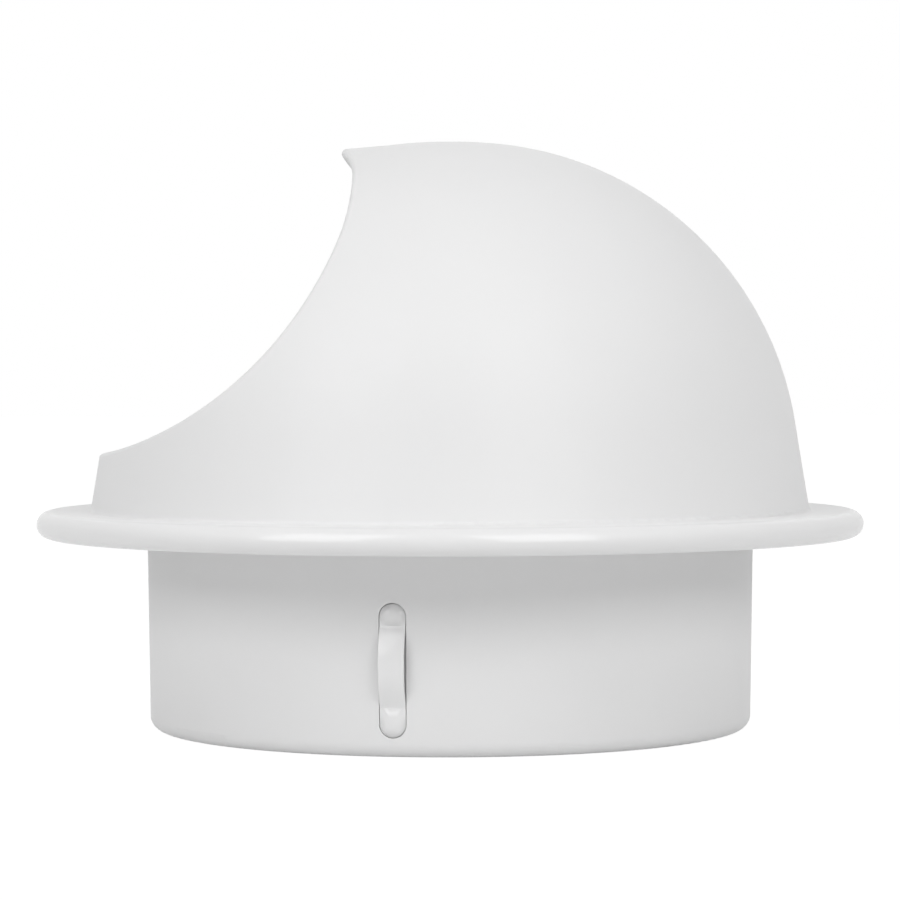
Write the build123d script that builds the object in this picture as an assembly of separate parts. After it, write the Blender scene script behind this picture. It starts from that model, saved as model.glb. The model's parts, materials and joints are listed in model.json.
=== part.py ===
from build123d import *
from math import asin, cos, degrees, floor, radians, sin, sqrt, tan
import os

# Bull-nose exterior ventilation grille for a round wall duct, in millimetres.
# A drawn steel hood with a side mouth is welded by its flange to a drawn steel collar, which slides
# into the duct. Bow springs in the collar's windows grip the duct wall, and a welded wire mesh on
# the collar's ring keeps birds out. +Z is the duct's axis, away from the wall, and z = 0 is the
# wall's surface. The mouth faces -X, which points down on a wall.

# Sheet
SHEET = 0.8

# Collar, with heights measured down from the wall's surface
COLLAR_DIAMETER = 122.0
COLLAR_LENGTH = 38.6
COLLAR_DRAFT = 0.8
COLLAR_NECK_BEND = 1.0
COLLAR_END_BEND = 2.7
COLLAR_LIP = 1.5

# Flange and rolled rim of the hood
DOME_STEP = 11.25
FLANGE_WIDTH = 10.75
RIM_HEIGHT = 5.2
HEM_WIDTH = 3.0
RING_GAP = 0.4

# Dome of the hood, with heights measured up from the flange's top
DOME_HEIGHT = 73.8
WALL_LEAN = 9.3
CROWN_RADIUS = 180.0
CROWN_WIDTH = 11.2
FOOT_BEND = 0.8

# Nose of the dome, where the crown runs straight on to the drip tip
NOSE_SLOPE = 4.7
NOSE_LENGTH = 18.0
NOSE_HALF_ARC = 60.0
NOSE_ROOT_CURVE = 60.0
NOSE_TIP_CURVE = 52.0

# Mouth of the hood, as arcs of its side outline from the drip tip down to the front
THROAT_SETBACK = 18.8
THROAT_DROP = 8.4
HOOK_RADIUS = 6.5
HOOK_TURN = 40.0
BROW_RADIUS = 36.0
BROW_TURN = 22.0
MOUTH_FLOOR = 10.0
MOUTH_EDGE = 1.0
MOUTH_LIP = 2.6

# Bow springs and their windows
SPRING_COUNT = 3
FIRST_SPRING_ANGLE = 259.8
WINDOW_TOP = 9.7
WINDOW_END_MARGIN = 3.7
WINDOW_WIDTH = 5.2
WINDOW_GAP = 0.15
SPRING_SHEET = 0.5
SPRING_FLUSH = 0.05
SPRING_EDGE = 0.12
BOW_TOP_INSET = 4.2
BOW_END_INSET = 5.6
BOW_RISE = 1.8
BOW_RAMP = 4.6
BOW_SEAT = 1.0
BOW_SINK = 0.1
BOW_BEND = 3.0
BOW_CROWN_BEND = 9.0
BACKING_WIDTH = 9.0
BACKING_TOP = 7.0
BACKING_END = 1.4
BACKING_CORNER = 1.5
BACKING_GAP = 0.1

# Wire mesh
WIRE_DIAMETER = 1.2
WIRE_PITCH = 12.7
WIRE_WELD = 0.3
MESH_GAP = 2.6

collar_radius = COLLAR_DIAMETER / 2
dome_foot_radius = collar_radius + DOME_STEP
flange_radius = dome_foot_radius + FLANGE_WIDTH
rim_radius = RIM_HEIGHT / 2
rim_center = flange_radius - rim_radius
hem_inner = rim_center - HEM_WIDTH
ring_top = RIM_HEIGHT - SHEET
ring_bottom = ring_top - SHEET
ring_radius = rim_center - RING_GAP
dome_top = RIM_HEIGHT + DOME_HEIGHT
crown_slope = degrees(asin(CROWN_WIDTH / 2 / CROWN_RADIUS))
shoulder_turn = 90 - WALL_LEAN - crown_slope
window_end = WINDOW_END_MARGIN - COLLAR_LENGTH
bow_top = -WINDOW_TOP - BOW_TOP_INSET
bow_end = window_end + BOW_END_INSET


def dome_skin(inset):
    """Half outline of the dome, moved inwards by inset: crown arc, shoulder arc and foot corner."""
    lean, turn = radians(WALL_LEAN), radians(crown_slope)
    drop = CROWN_RADIUS * (1 - cos(turn))
    reach = (dome_foot_radius - CROWN_WIDTH / 2) * cos(lean) - (DOME_HEIGHT - drop) * sin(lean)
    shoulder_radius = reach / (1 - sin(lean + turn))
    crown = JernArc((0, dome_top - inset), (1, 0), CROWN_RADIUS - inset, -crown_slope)
    shoulder = JernArc(crown @ 1, crown % 1, shoulder_radius - inset, -shoulder_turn)
    foot = (dome_foot_radius - inset * (1 - sin(lean)) / cos(lean), RIM_HEIGHT - inset)
    return crown, shoulder, foot


def turned(edges):
    """Solid of revolution about the duct's axis from the edges of a closed half section."""
    return revolve(Plane.XZ * make_face(edges), Axis.Z)


def hood_body(inset, closing):
    """The hood filled solid, with its skin moved inwards by inset and closed from the rim to the axis."""
    crown, shoulder, foot = dome_skin(inset)
    flange_end = (rim_center, RIM_HEIGHT - inset)
    hem_start = (rim_center, inset)
    wall = FilletPolyline(shoulder @ 1, foot, flange_end, radius=FOOT_BEND + inset)
    rim = ThreePointArc(flange_end, (flange_radius - inset, rim_radius), hem_start)
    return turned([crown, shoulder, wall, rim, Polyline(hem_start, *closing, crown @ 0)])


def drip_nose(inset):
    """Fullness of the crown behind the drip tip, filled solid, with its skin moved inwards by inset."""
    _, shoulder, _ = dome_skin(inset)
    share = (NOSE_SLOPE - crown_slope) / shoulder_turn
    root = shoulder @ share
    tip = root + (shoulder % share) * NOSE_LENGTH
    ends = []
    for point, curve in ((root, NOSE_ROOT_CURVE - inset), (tip, NOSE_TIP_CURVE - inset)):
        arc = CenterArc((0, -curve), curve, 90 - NOSE_HALF_ARC, 2 * NOSE_HALF_ARC)
        plane = Plane((-point.X, 0, point.Y), x_dir=(0, 1, 0), z_dir=(1, 0, 0))
        ends.append(plane * make_face([arc, Line(arc @ 1, arc @ 0)]))
    return loft(ends, ruled=True)


def dome_body(inset):
    """The dome alone, filled solid down to its foot, with its skin moved inwards by inset."""
    crown, shoulder, foot = dome_skin(inset)
    return turned([crown, shoulder, Polyline(shoulder @ 1, foot, (0, foot[1]), crown @ 0)])


def mouth_space(grow):
    """Everything in front of the mouth's side outline, with that outline moved into the hood by grow."""
    throat = (grow - THROAT_SETBACK, dome_top - THROAT_DROP)
    hook = JernArc(throat, (0, 1), HOOK_RADIUS + grow, HOOK_TURN)
    brow = JernArc(throat, (0, -1), BROW_RADIUS + grow, -BROW_TURN)
    fall = (brow @ 1).Y - RIM_HEIGHT - MOUTH_FLOOR + grow
    sweep = JernArc(brow @ 1, brow % 1, fall / (1 - sin(radians(BROW_TURN))), BROW_TURN - 90)
    above = hook @ 1 + (hook % 1) * dome_top
    far = sweep @ 1 - (dome_top + flange_radius, 0)
    outline = Polyline(sweep @ 1, far, (far.X, above.Y), above, hook @ 1)
    section = make_face([hook, brow, sweep, outline])
    return extrude(Plane.XZ * section, flange_radius, both=True)


def cut_mouth(body, grow, edge):
    """A filled hood with the mouth cut away and the edge of the cut rounded."""
    space = mouth_space(grow)
    cut = body - space
    return fillet(new_edges(body, space, combined=cut), edge)


def make_hood():
    """Drawn hood: dome, flange and rolled rim in one sheet, with a lip turned in around the mouth."""
    hem = [(hem_inner, SHEET), (hem_inner, -SHEET), (0, -SHEET)]
    skin = cut_mouth(hood_body(0, [(0, 0)]), 0, MOUTH_EDGE) + cut_mouth(drip_nose(0), 0, MOUTH_EDGE)
    edge = MOUTH_EDGE - SHEET
    hollow = cut_mouth(hood_body(SHEET, hem), SHEET, edge) + cut_mouth(drip_nose(SHEET), SHEET, edge)
    opening = dome_body(MOUTH_LIP) & mouth_space(2 * SHEET)
    return skin - hollow - opening


def wall_radius(z):
    """Outer radius of the collar's straight wall at height z."""
    return collar_radius - (ring_bottom - z) * tan(radians(COLLAR_DRAFT))


def inner_radius(z):
    """Inner radius of the collar at height z, following its rounded end."""
    bend = COLLAR_END_BEND - SHEET
    bend_z = COLLAR_END_BEND - COLLAR_LENGTH
    if z >= bend_z:
        return wall_radius(z) - SHEET
    return wall_radius(bend_z) - COLLAR_END_BEND + sqrt(bend**2 - (bend_z - z) ** 2)


def spring_angles():
    """Angles of the springs about the axis, in degrees from +X."""
    return [FIRST_SPRING_ANGLE + 360 * k / SPRING_COUNT for k in range(SPRING_COUNT)]


def window_block(gap):
    """Block that fills the window at angle 0, with its outline moved inwards by gap."""
    length = -WINDOW_TOP - window_end
    outline = SlotOverall(length - 2 * gap, WINDOW_WIDTH - 2 * gap, rotation=90)
    middle = Plane((collar_radius, 0, -WINDOW_TOP - length / 2), x_dir=(0, 1, 0), z_dir=(1, 0, 0))
    return extrude(middle * outline, WINDOW_WIDTH, both=True)


def make_collar():
    """Drawn collar: a flat ring under the flange, turned down into the duct and rounded in at its end."""
    end_radius = wall_radius(-COLLAR_LENGTH)
    outside = FilletPolyline(
        (ring_radius, ring_bottom),
        (collar_radius, ring_bottom),
        (end_radius, -COLLAR_LENGTH),
        (end_radius - COLLAR_END_BEND - COLLAR_LIP, -COLLAR_LENGTH),
        radius=[COLLAR_NECK_BEND, COLLAR_END_BEND],
    )
    collar = turned(Wire(outside.edges()).offset_2d(SHEET, side=Side.RIGHT).edges())
    return collar - [Rot(0, 0, angle) * window_block(0) for angle in spring_angles()]


def backing_face(z):
    """Radius at height z of the backing strip's outer face, which lies behind the collar's wall."""
    return sqrt(inner_radius(z) ** 2 - BACKING_WIDTH**2 / 4) - BACKING_GAP


def strip_face(z):
    """Radius at height z of the spring's flush ends."""
    return wall_radius(z) - SPRING_FLUSH


def make_backing():
    """Backing strip: a flat strip with rounded corners, welded behind the window."""
    top, end = BACKING_TOP - WINDOW_TOP, window_end - BACKING_END
    outer, outer_end = backing_face(top), backing_face(end)
    section = [(outer, top), (outer_end, end), (outer_end - SPRING_SHEET, end), (outer - SPRING_SHEET, top)]
    strip = extrude(Plane.XZ * make_face(Polyline(*section, close=True)), BACKING_WIDTH / 2, both=True)
    ends = strip.faces().sort_by(Axis.Z)
    corners = (ends[0].edges() + ends[-1].edges()).filter_by(Axis.Y, reverse=True)
    return fillet(corners, BACKING_CORNER)


def make_bow():
    """Bow of the spring: a strip that rises from its sunk ends to a level crown, with its edges rounded."""
    crown = wall_radius((bow_top + bow_end) / 2) + BOW_RISE
    heights = (bow_top + BOW_SEAT, bow_top, bow_end, bow_end - BOW_SEAT)
    upper, top, end, lower = [(strip_face(z) - BOW_SINK, z) for z in heights]
    ramps = [(crown, bow_top - BOW_RAMP), (crown, bow_end + BOW_RAMP)]
    bends = [BOW_BEND, BOW_CROWN_BEND, BOW_CROWN_BEND, BOW_BEND]
    line = FilletPolyline(upper, top, *ramps, end, lower, radius=bends)
    section = make_face(Wire(line.edges()).offset_2d(SPRING_SHEET, side=Side.RIGHT).edges())
    strip = extrude(Plane.XZ * section, WINDOW_WIDTH / 2 - WINDOW_GAP, both=True)
    sides = strip.faces().sort_by(Axis.Y)
    return fillet(sides[0].edges() + sides[-1].edges(), SPRING_EDGE)


def make_spring(angle):
    """Bow spring: a bowed strip whose ends fill the window flush and are welded to a backing strip."""
    spring = make_backing() + make_bow()
    depth = SPRING_SHEET / 2
    for z0, z1 in ((-WINDOW_TOP, bow_top), (bow_end, window_end)):
        face = [(strip_face(z0), z0), (strip_face(z1), z1)]
        back = [(backing_face(z1) - depth, z1), (backing_face(z0) - depth, z0)]
        ring = turned(Polyline(*face, *back, close=True).edges())
        spring += ring & window_block(WINDOW_GAP)
    return Rot(0, 0, angle) * spring


def make_mesh():
    """Welded wire mesh: a disc of crossing wires that lies on the collar's ring inside the dome's foot."""
    _, _, foot = dome_skin(SHEET)
    radius = foot[0] - MESH_GAP
    low_z = ring_top + WIRE_DIAMETER / 2
    high_z = low_z + WIRE_DIAMETER - WIRE_WELD
    per_side = floor((radius - WIRE_DIAMETER) / WIRE_PITCH + 0.5)
    wires = []
    for k in range(-per_side, per_side):
        offset = (k + 0.5) * WIRE_PITCH
        wire = Cylinder(WIRE_DIAMETER / 2, 2 * sqrt(radius**2 - offset**2))
        wires.append(Pos(0, offset, low_z) * Rot(0, 90, 0) * wire)
        wires.append(Pos(offset, 0, high_z) * Rot(90, 0, 0) * wire)
    return Part() + wires


pieces = {"hood": make_hood(), "collar": make_collar(), "bird_mesh": make_mesh()}
for number, angle in enumerate(spring_angles(), start=1):
    pieces[f"spring_{number}"] = make_spring(angle)

os.makedirs("parts", exist_ok=True)
for name, piece in pieces.items():
    export_step(piece, f"parts/{name}.step")
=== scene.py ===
import json
from math import cos, hypot, pi, radians, sin

import bmesh
import bpy
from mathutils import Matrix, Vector


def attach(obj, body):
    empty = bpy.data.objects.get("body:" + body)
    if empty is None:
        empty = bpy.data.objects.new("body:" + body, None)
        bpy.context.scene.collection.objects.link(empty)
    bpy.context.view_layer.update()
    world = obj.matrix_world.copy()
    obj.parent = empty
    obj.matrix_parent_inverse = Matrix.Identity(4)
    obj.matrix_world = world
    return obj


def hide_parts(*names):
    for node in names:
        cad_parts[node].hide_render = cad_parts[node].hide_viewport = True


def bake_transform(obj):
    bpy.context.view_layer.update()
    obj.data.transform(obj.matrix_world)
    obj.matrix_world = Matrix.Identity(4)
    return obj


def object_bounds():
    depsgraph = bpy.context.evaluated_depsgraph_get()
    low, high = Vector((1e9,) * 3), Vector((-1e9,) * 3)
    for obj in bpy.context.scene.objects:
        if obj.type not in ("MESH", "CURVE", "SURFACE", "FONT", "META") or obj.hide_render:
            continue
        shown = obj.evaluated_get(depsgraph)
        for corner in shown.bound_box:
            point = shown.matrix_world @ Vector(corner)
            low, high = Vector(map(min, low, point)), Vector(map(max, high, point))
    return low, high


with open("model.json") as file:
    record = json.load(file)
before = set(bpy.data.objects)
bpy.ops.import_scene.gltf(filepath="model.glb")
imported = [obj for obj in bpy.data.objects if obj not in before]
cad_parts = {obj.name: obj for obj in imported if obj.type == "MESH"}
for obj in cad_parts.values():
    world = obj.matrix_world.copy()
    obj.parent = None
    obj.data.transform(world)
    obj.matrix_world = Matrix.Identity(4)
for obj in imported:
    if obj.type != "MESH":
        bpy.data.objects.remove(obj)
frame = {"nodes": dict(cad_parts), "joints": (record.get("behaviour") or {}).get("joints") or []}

cad_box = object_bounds()

# Hood: one sheet of steel, deep drawn into a dome with its mouth trimmed and lipped inwards.
# Its flange is rolled into a rim around the edge, and the whole sheet is powder coated gloss white
# and baked, which leaves a fine orange peel over the slight unevenness of the drawing.


class Socket:
    """A node's output: + - * on it add Math nodes, and add() makes any other node of its tree."""

    def __init__(self, tree, output=None):
        self.tree, self.output = tree, output

    def add(self, kind, settings, values, out=0):
        node = self.tree.nodes.new(kind)
        for name, value in settings.items():
            setattr(node, name, value)
        for name, value in values.items():
            for source in value if isinstance(value, list) else [value]:
                if isinstance(source, Socket):
                    self.tree.links.new(source.output, node.inputs[name])
                else:
                    node.inputs[name].default_value = source
        return Socket(self.tree, node.outputs[out] if node.outputs else None)

    def math(self, operation, first, second=0.0):
        return self.add("ShaderNodeMath", {"operation": operation}, {0: first, 1: second})

    def __add__(self, other):
        return self.math("ADD", self, other)

    def __sub__(self, other):
        return self.math("SUBTRACT", self, other)

    def __rsub__(self, other):
        return self.math("SUBTRACT", other, self)

    def __mul__(self, other):
        return self.math("MULTIPLY", self, other)

    __radd__, __rmul__ = __add__, __mul__


PEEL_DEPTH = 6e-6
GRAIN_DEPTH = 1e-6
DULL_COAT = 0.03
GLOSSY_COAT = 0.42
GLOSS_FADE = 0.0015


def baked_coat(name, thick_coat, thin_coat, unevenness, gloss_from=1.0):
    """White powder coat over formed steel, in metres, thick and glossy from gloss_from off the axis."""
    material = bpy.data.materials.new(name)
    material.use_nodes = True
    material.node_tree.nodes.clear()
    coat = Socket(material.node_tree)
    place = coat.add("ShaderNodeTexCoord", {}, {}, out="Object")

    def cloud(per_metre, detail):
        return coat.add("ShaderNodeTexNoise", {}, {"Vector": place, "Scale": per_metre, "Detail": detail})

    build_up, peel, grain, swell = cloud(28, 2), cloud(520, 2), cloud(2600, 1), cloud(34, 0)
    colour = coat.add(
        "ShaderNodeMix",
        {"data_type": "RGBA"},
        {"Factor": build_up, 6: (*thin_coat, 1), 7: (*thick_coat, 1)},
        out=2,
    )
    height = peel * PEEL_DEPTH + grain * GRAIN_DEPTH + swell * unevenness
    x, y = (coat.add("ShaderNodeSeparateXYZ", {}, {"Vector": place}, out=axis) for axis in "XY")
    gloss = coat.add(
        "ShaderNodeMapRange",
        {"interpolation_type": "SMOOTHSTEP"},
        {
            "Value": coat.math("SQRT", x * x + y * y),
            "From Min": gloss_from,
            "From Max": gloss_from + GLOSS_FADE,
            "To Min": DULL_COAT,
            "To Max": GLOSSY_COAT,
        },
    )
    relief = coat.add("ShaderNodeBump", {}, {"Strength": 1, "Distance": 1, "Height": height})
    paint = coat.add(
        "ShaderNodeBsdfPrincipled",
        {},
        {
            "Base Color": colour,
            "Roughness": 0.42 + 0.06 * build_up + 0.05 * grain,
            "Specular IOR Level": 0.1,
            "Coat Weight": gloss,
            "Coat Roughness": 0.09,
            "Normal": relief,
        },
    )
    coat.add("ShaderNodeOutputMaterial", {}, {"Surface": paint})
    return material


hood = frame["nodes"]["hood"]
hood.material_slots[0].material = baked_coat(
    "hood_coat", (0.85, 0.85, 0.85), (0.825, 0.825, 0.828), 2e-5, gloss_from=0.08
)

# Collar: a drawn steel cup with its bottom punched out, welded by its ring under the hood's flange.
# It is coated together with the hood, and its end is rounded in so that it finds the duct.

collar = frame["nodes"]["collar"]
# The collar's coat is painted lighter than the hood's, though it is the same coat: painted light that
# brightens the collar.
collar.material_slots[0].material = baked_coat("collar_coat", (0.87, 0.87, 0.87), (0.845, 0.845, 0.847), 1e-5)

# Bow springs: spring steel strips, blanked with round ends and pressed into a bow.
# Each fills a window of the collar flush and is welded by its ends to a backing strip behind the
# wall. In the duct the real bow flattens, while its ends stay in the window; here each strip keeps
# its pressed shape.
strip_coat = baked_coat("strip_coat", (0.87, 0.87, 0.87), (0.845, 0.845, 0.847), 5e-6, gloss_from=0)
for joint in frame["joints"]:
    node = frame["nodes"][joint["child"]]
    pressed = bmesh.new()
    pressed.from_mesh(node.data)
    bmesh.ops.remove_doubles(pressed, verts=pressed.verts, dist=1e-7)
    for face in pressed.faces:
        face.smooth = True
    strip_data = bpy.data.meshes.new(f"bow_{joint['child']}")
    pressed.to_mesh(strip_data)
    pressed.free()
    strip_data.set_sharp_from_angle(angle=radians(25))
    strip_data.materials.clear()
    strip_data.materials.append(strip_coat)
    strip = bpy.data.objects.new(strip_data.name, strip_data)
    bpy.context.scene.collection.objects.link(strip)
    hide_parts(joint["child"])
    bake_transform(strip)

# Bird mesh: a disc of welded steel wire in two layers that lies on the collar's ring.
# The wires are pressed a little into each other by the resistance welds, and the white coat
# gathers in a bead around each crossing.
WIRE_PITCH = 0.0127
WIRE_COUNT = 10
WIRE_THICK = 0.0012
BEAD_SIZE = 0.72
wire_tree = bpy.data.node_groups.new("welded_mesh", "GeometryNodeTree")
for name in ("Radius", "Pitch", "Thickness", "Low", "High"):
    wire_tree.interface.new_socket(name, in_out="INPUT", socket_type="NodeSocketFloat")
wire_tree.interface.new_socket("Coat", in_out="INPUT", socket_type="NodeSocketMaterial")
wire_tree.interface.new_socket("Mesh", in_out="OUTPUT", socket_type="NodeSocketGeometry")
weld = Socket(wire_tree)
given = {
    name: weld.add("NodeGroupInput", {}, {}, out=name)
    for name in ("Radius", "Pitch", "Thickness", "Low", "High", "Coat")
}


def along(axis, value):
    """Vector of a value on one axis."""
    return weld.add("ShaderNodeCombineXYZ", {}, {axis: value})


first = given["Pitch"] * (0.5 - WIRE_COUNT / 2)
rows = weld.add(
    "GeometryNodeMeshLine",
    {"mode": "OFFSET"},
    {"Count": WIRE_COUNT, "Start Location": along("Y", first), "Offset": along("Y", given["Pitch"])},
)
place = weld.add("GeometryNodeInputPosition", {}, {})
row_y = weld.add("ShaderNodeSeparateXYZ", {}, {"Vector": place}, out="Y")
half_length = weld.math("SQRT", given["Radius"] * given["Radius"] - row_y * row_y)
axis_line = weld.add("GeometryNodeCurvePrimitiveLine", {}, {"Start": (-1, 0, 0), "End": (1, 0, 0)})
half_thick = given["Thickness"] * 0.5
round_section = weld.add("GeometryNodeCurvePrimitiveCircle", {}, {"Resolution": 20, "Radius": half_thick})
wire = weld.add(
    "GeometryNodeCurveToMesh", {}, {"Curve": axis_line, "Profile Curve": round_section, "Fill Caps": True}
)
stretch = weld.add("ShaderNodeCombineXYZ", {}, {"X": half_length, "Y": 1.0, "Z": 1.0})
layer = weld.add("GeometryNodeInstanceOnPoints", {}, {"Points": rows, "Instance": wire, "Scale": stretch})
low_layer = weld.add(
    "GeometryNodeTransform", {}, {"Geometry": layer, "Translation": along("Z", given["Low"])}
)
high_layer = weld.add(
    "GeometryNodeTransform",
    {},
    {"Geometry": layer, "Translation": along("Z", given["High"]), "Rotation": (0, 0, pi / 2)},
)
span = given["Pitch"] * (WIRE_COUNT - 1)
grid = weld.add(
    "GeometryNodeMeshGrid",
    {},
    {"Size X": span, "Size Y": span, "Vertices X": WIRE_COUNT, "Vertices Y": WIRE_COUNT},
)
from_axis = weld.add("ShaderNodeVectorMath", {"operation": "LENGTH"}, {0: place}, out="Value")
outside = weld.math("GREATER_THAN", from_axis, given["Radius"] - given["Thickness"])
crossings = weld.add("GeometryNodeDeleteGeometry", {}, {"Geometry": grid, "Selection": outside})
bead_radius = given["Thickness"] * BEAD_SIZE
bead = weld.add("GeometryNodeMeshIcoSphere", {}, {"Radius": bead_radius, "Subdivisions": 3})
swell = weld.add("FunctionNodeRandomValue", {"data_type": "FLOAT"}, {2: 0.9, 3: 1.0, "Seed": 5}, out=1)
beads = weld.add("GeometryNodeInstanceOnPoints", {}, {"Points": crossings, "Instance": bead, "Scale": swell})
middle = (given["Low"] + given["High"]) * 0.5
beads = weld.add("GeometryNodeTransform", {}, {"Geometry": beads, "Translation": along("Z", middle)})
joined = weld.add("GeometryNodeJoinGeometry", {}, {"Geometry": [low_layer, high_layer, beads]})
real = weld.add("GeometryNodeRealizeInstances", {}, {"Geometry": joined})
smooth = weld.add("GeometryNodeSetShadeSmooth", {}, {"Geometry": real})
coated = weld.add("GeometryNodeSetMaterial", {}, {"Geometry": smooth, "Material": given["Coat"]})
weld.add("NodeGroupOutput", {}, {"Mesh": coated})

cad_mesh = [v.co for v in frame["nodes"]["bird_mesh"].data.vertices]
sizes = {
    "Radius": hypot(max(c.x for c in cad_mesh), WIRE_PITCH / 2),
    "Pitch": WIRE_PITCH,
    "Thickness": WIRE_THICK,
    "Low": min(c.z for c in cad_mesh) + WIRE_THICK / 2,
    "High": max(c.z for c in cad_mesh) - WIRE_THICK / 2,
    "Coat": baked_coat("mesh_coat", (0.82, 0.82, 0.82), (0.78, 0.78, 0.782), 2e-6),
}
bird_mesh = bpy.data.objects.new("welded_bird_mesh", bpy.data.meshes.new("welded_bird_mesh"))
bpy.context.scene.collection.objects.link(bird_mesh)
welding = bird_mesh.modifiers.new("welded_mesh", "NODES")
welding.node_group = wire_tree
for item in wire_tree.interface.items_tree:
    if item.in_out == "INPUT":
        welding[item.identifier] = sizes[item.name]
plain = bpy.data.meshes.new_from_object(bird_mesh.evaluated_get(bpy.context.evaluated_depsgraph_get()))
bird_mesh.modifiers.remove(welding)
bird_mesh.data = plain
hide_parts("bird_mesh")
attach(bird_mesh, "grille")

# Floor: a flat plain white sheet under the collar's end, bright to the camera but still shaded by the
# grille.
FLOOR_GAP = 0.00005
FLOOR_REACH = 4.0
FLOOR_GLOW = 0.9
FLOOR_WHITE = 1.08
floor_mesh = bmesh.new()
bmesh.ops.create_grid(floor_mesh, x_segments=8, y_segments=8, size=FLOOR_REACH)
for vertex in floor_mesh.verts:
    vertex.co.z = cad_box[0][2] - FLOOR_GAP
floor_data = bpy.data.meshes.new("floor")
floor_mesh.to_mesh(floor_data)
floor_mesh.free()
floor_object = bpy.data.objects.new("floor", floor_data)
bpy.context.scene.collection.objects.link(floor_object)
floor_paint = bpy.data.materials.new("floor_paint")
floor_paint.use_nodes = True
floor_paint.node_tree.nodes.clear()
ground = Socket(floor_paint.node_tree)


def seen(shade):
    """1 where the camera sees a surface straight, in a reflection or through glass."""
    kinds = ("Is Camera Ray", "Is Glossy Ray", "Is Transmission Ray")
    rays = [shade.add("ShaderNodeLightPath", {}, {}, out=kind) for kind in kinds]
    return shade.math("MAXIMUM", shade.math("MAXIMUM", rays[0], rays[1]), rays[2])


matt = ground.add("ShaderNodeBsdfDiffuse", {}, {"Color": (0.9, 0.9, 0.9, 1)})
glow = ground.add("ShaderNodeEmission", {}, {"Color": (1, 1, 1, 1), "Strength": FLOOR_WHITE})
mixed = ground.add("ShaderNodeMixShader", {}, {0: seen(ground) * FLOOR_GLOW, 1: matt, 2: glow})
ground.add("ShaderNodeOutputMaterial", {}, {"Surface": mixed})
floor_data.materials.append(floor_paint)

# Studio light: softboxes at both front corners and a panel overhead light the grille in an even
# white room. Two tall strip lights only show in the gloss of the rim and the springs.
ROOM_LIGHT = 0.4
LIGHT_AWAY = 1.1
for name, turn, lift, width, height, glow, in_gloss in (
    ("softbox_left", -45, 30, 0.5, 0.4, 4.6, False),
    ("softbox_right", 40, 30, 0.5, 0.4, 4.6, False),
    ("top_panel", 0, 80, 1.0, 1.0, 0.85, False),
    ("strip_light_left", -37, 30, 0.55, 1.1, 5.0, True),
    ("strip_light_right", 25.5, 30, 0.55, 1.1, 5.0, True),
):
    lamp = bpy.data.lights.new(name, "AREA")
    lamp.shape, lamp.size, lamp.size_y = "RECTANGLE", width, height
    lamp.energy = glow * pi * width * height
    light = bpy.data.objects.new(name, lamp)
    turn, lift = radians(turn), radians(lift)
    light.location = LIGHT_AWAY * Vector((cos(lift) * sin(turn), -cos(lift) * cos(turn), sin(lift)))
    light.rotation_euler = (-light.location).to_track_quat("-Z", "Y").to_euler()
    light.visible_glossy, light.visible_diffuse = in_gloss, not in_gloss
    bpy.context.scene.collection.objects.link(light)

room = bpy.data.worlds.new("room")
room.use_nodes = True
room.node_tree.nodes.clear()
sky = Socket(room.node_tree)
strength = seen(sky) * (1 - ROOM_LIGHT) + ROOM_LIGHT
backdrop = sky.add("ShaderNodeBackground", {}, {"Color": (1, 1, 1, 1), "Strength": strength})
sky.add("ShaderNodeOutputWorld", {}, {"Surface": backdrop})
bpy.context.scene.world = room

# Camera: a long lens a little above the flange, looking straight at the side of the grille.
lens = bpy.data.cameras.new("camera")
lens.sensor_width, lens.lens = 36.0, 141.2
camera = bpy.data.objects.new("camera", lens)
camera.location = (0.00003, -0.7127, 0.03504)
camera.rotation_euler = (radians(88.56), radians(0.1), 0)
bpy.context.scene.collection.objects.link(camera)
bpy.context.scene.camera = camera
bpy.context.scene.view_settings.view_transform = "Standard"
